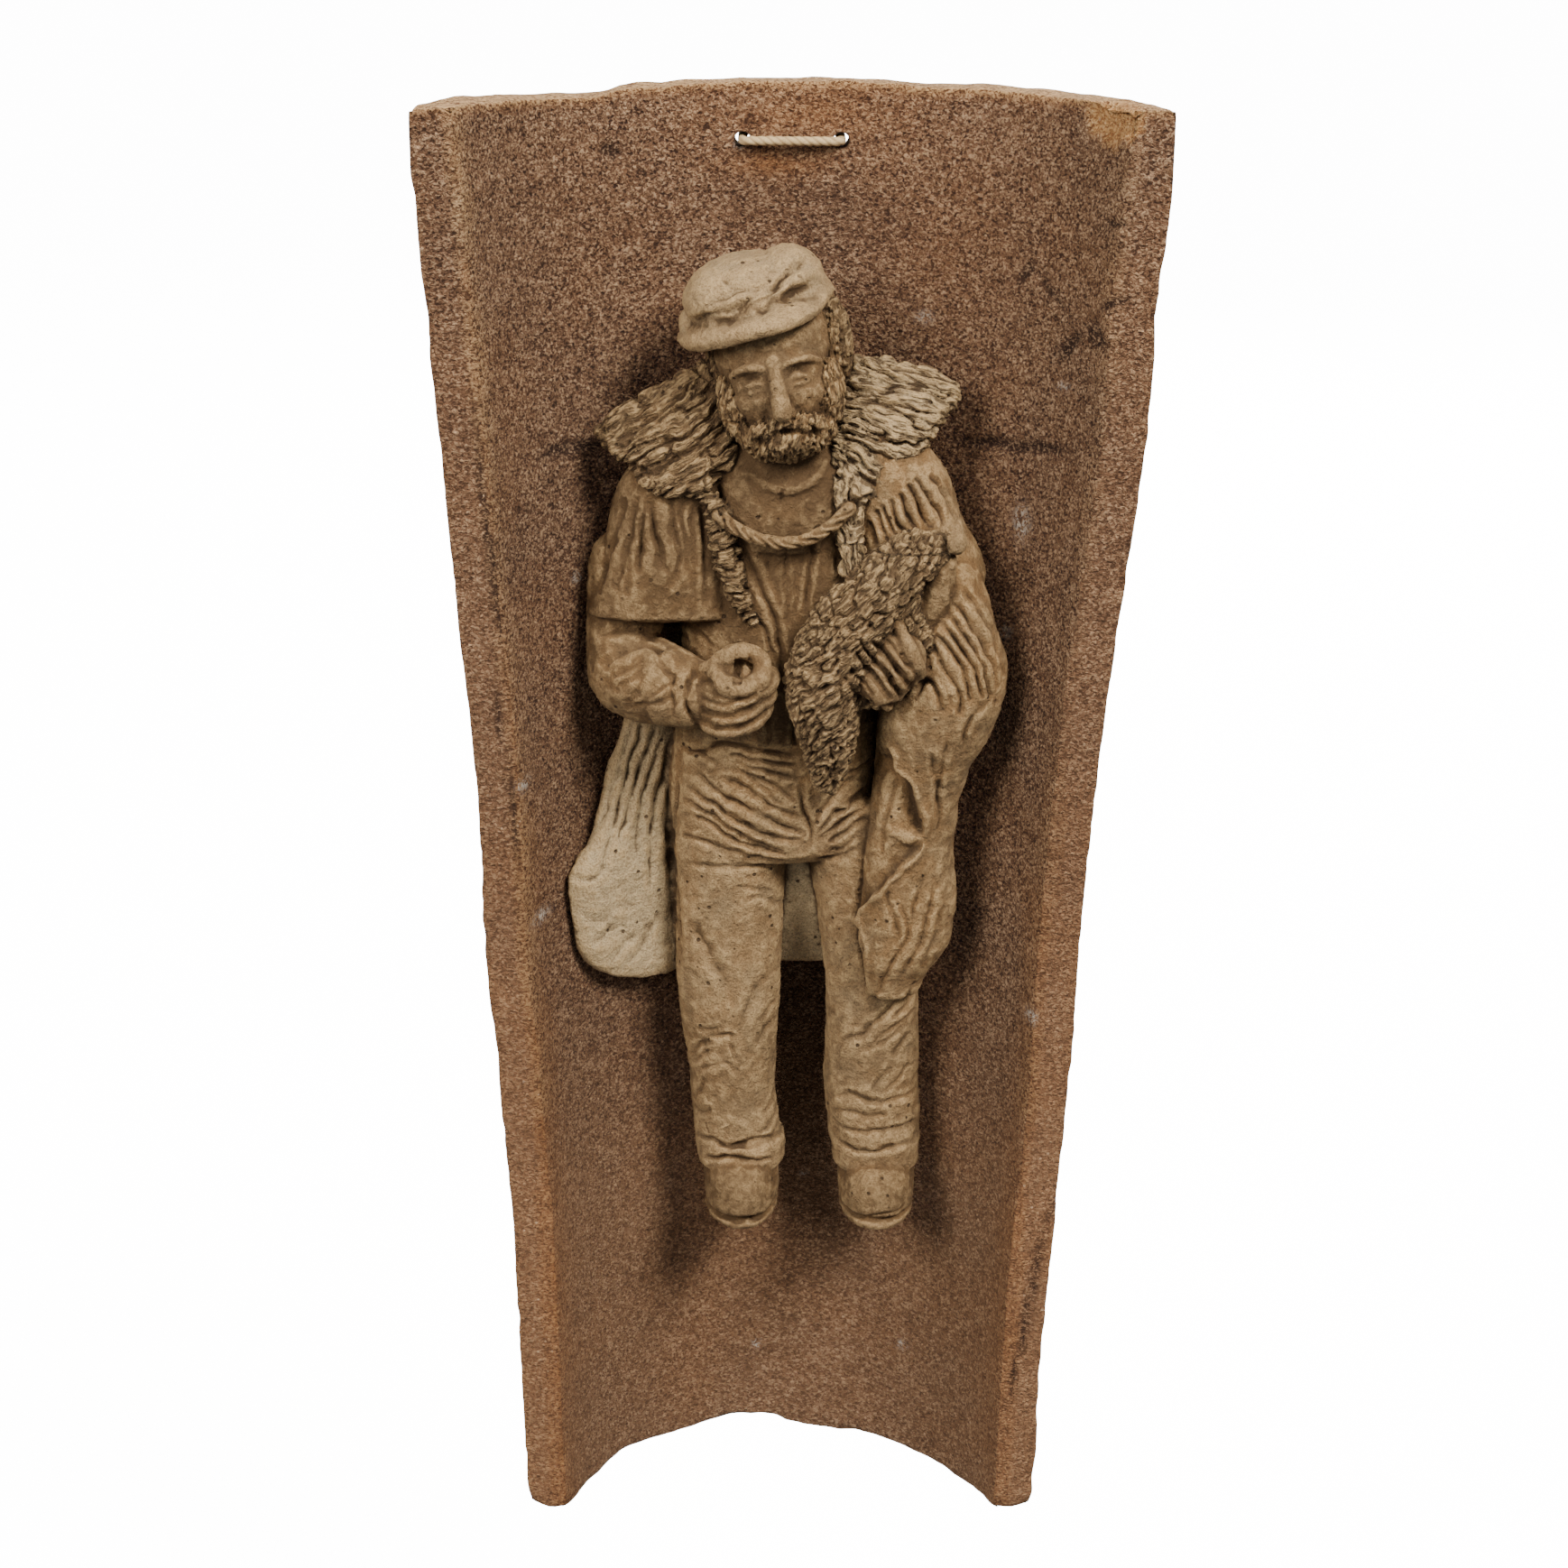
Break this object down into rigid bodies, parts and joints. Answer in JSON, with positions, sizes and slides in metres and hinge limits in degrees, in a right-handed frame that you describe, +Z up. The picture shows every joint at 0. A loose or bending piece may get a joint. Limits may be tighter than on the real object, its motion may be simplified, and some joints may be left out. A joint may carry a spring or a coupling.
{
  "type": "terracotta wall plaque",
  "caption": "Curved terracotta roof tile hung wide end up, with a clay shepherd carrying a woolly bundle fixed in its hollow and a twine loop to hang it.",
  "frame": {"origin": "where the twine bears on the nail, on the wall plane, just below the top edge of the tile", "axes": "+Z up, +X to the viewer's right, the hollow of the tile faces -Y, the wall is Y = 0"},
  "size_m": [0.2087, 0.0813, 0.4514],
  "materials": {
    "fired_tile_clay": "matt, coarse and sandy",
    "buff_clay": "matt, with a brown patina",
    "cream_twine": "twisted fibre"
  },
  "bodies": {
    "root": {"roof_tile": "fired_tile_clay", "shepherd_figure": "buff_clay", "hanging_twine": "cream_twine"}
  },
  "joints": []
}
